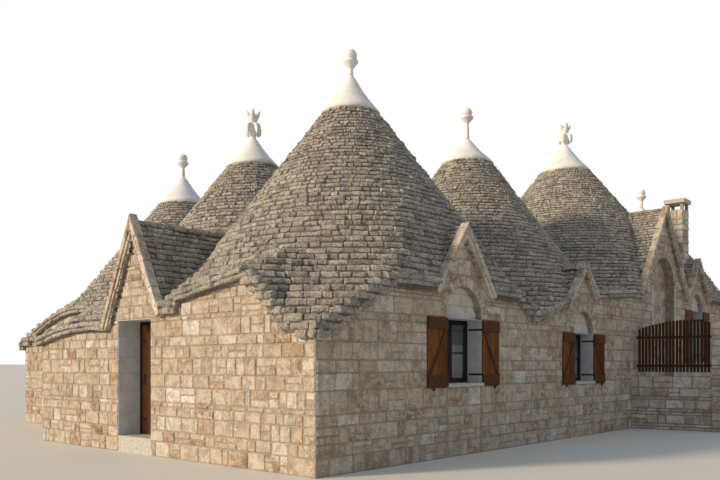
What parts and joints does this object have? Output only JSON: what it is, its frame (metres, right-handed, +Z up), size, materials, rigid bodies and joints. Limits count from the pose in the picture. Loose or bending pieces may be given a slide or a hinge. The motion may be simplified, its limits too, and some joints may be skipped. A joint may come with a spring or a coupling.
{
  "type": "trullo house",
  "caption": "Dry-stone house of joined rooms, each under a corbelled stone cone with a white plaster cap and carved finial, with gabled windows, a door and a fenced garden wall.",
  "frame": {"origin": "on the ground at the near outer corner of the house, where front and left walls meet", "axes": "+X along the front wall, +Y inwards from the front wall, +Z up"},
  "size_m": [20.2, 15.4765, 8.7],
  "materials": {
    "roof_slates": "weathered dry-stone limestone slates",
    "limestone_blocks": "coursed honey limestone blocks",
    "stone_floor": "worn limestone flags",
    "sill_stone": "sawn grey stone",
    "white_limewash": "limewashed plaster",
    "dark_wood": "dark stained",
    "window_glass": "clear",
    "shutter_wood": "brown stained boards",
    "door_wood": "oiled boards",
    "fence_wood": "brown stained pickets"
  },
  "bodies": {
    "house": {"corner_roof": "roof_slates", "middle_roof": "roof_slates", "tall_roof": "roof_slates", "end_roof": "roof_slates", "entrance_roof": "roof_slates", "rear_roof": "roof_slates", "corner_gable_roof": "roof_slates", "middle_gable_roof": "roof_slates", "tall_gable_roof": "roof_slates", "end_gable_roof": "roof_slates", "door_gable_roof": "roof_slates", "corner_front_wall": "limestone_blocks", "middle_front_wall": "limestone_blocks", "tall_front_wall": "limestone_blocks", "end_front_wall": "limestone_blocks", "end_side_wall": "limestone_blocks", "end_back_wall": "limestone_blocks", "tall_side_wall": "limestone_blocks", "tall_back_wall": "limestone_blocks", "middle_back_wall": "limestone_blocks", "rear_right_wall": "limestone_blocks", "rear_back_wall": "limestone_blocks", "rear_left_wall": "limestone_blocks", "entrance_back_wall": "limestone_blocks", "left_wall": "limestone_blocks", "door_head_wall": "limestone_blocks", "entrance_left_wall": "limestone_blocks", "garden_wall": "limestone_blocks", "garden_pier": "limestone_blocks", "chimney_stack": "limestone_blocks", "chimney_slab": "limestone_blocks", "floor": "stone_floor", "door_step": "stone_floor", "window_sills": "sill_stone", "plaster_caps": "white_limewash", "ball_finials": "white_limewash", "crown_finials": "white_limewash", "window_frames": "dark_wood", "door_frame": "dark_wood", "window_glass": "window_glass", "shutters": "shutter_wood", "fence_panel": "fence_wood"},
    "door": {"door_leaf": "door_wood"}
  },
  "joints": [
    {"name": "door_hinge", "type": "hinge", "parent": "house", "child": "door", "pos_m": [0.517, 5.026, 1.3], "axis": [0, 0, 1], "range_deg": [0, 90]}
  ]
}
